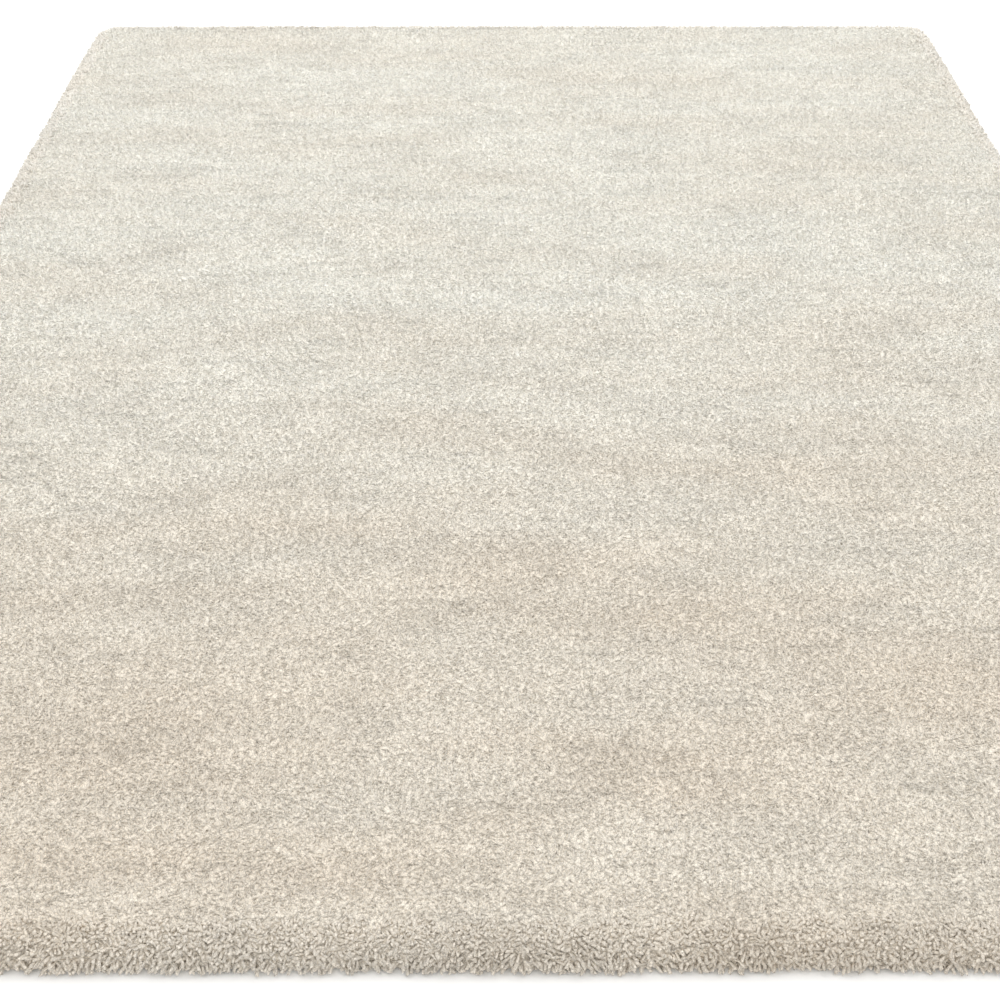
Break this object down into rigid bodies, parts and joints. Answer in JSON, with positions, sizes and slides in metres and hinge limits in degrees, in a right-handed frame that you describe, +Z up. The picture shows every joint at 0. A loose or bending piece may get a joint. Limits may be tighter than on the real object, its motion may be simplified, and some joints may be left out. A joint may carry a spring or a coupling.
{
  "type": "shag rug",
  "caption": "Flat rectangular shag rug with a thick cream cut pile, a soft rounded edge and a flat underside.",
  "frame": {"origin": "middle of the underside, on the floor", "axes": "+X across the width, +Y along the length, away from the end that faces the viewer, +Z up out of the floor through the pile"},
  "size_m": [1.6, 2.3, 0.035],
  "materials": {
    "pile": "matt cream cut pile of thick twisted yarn, blended with a little beige and warm grey"
  },
  "bodies": {
    "root": {"rug": "pile"}
  },
  "joints": []
}
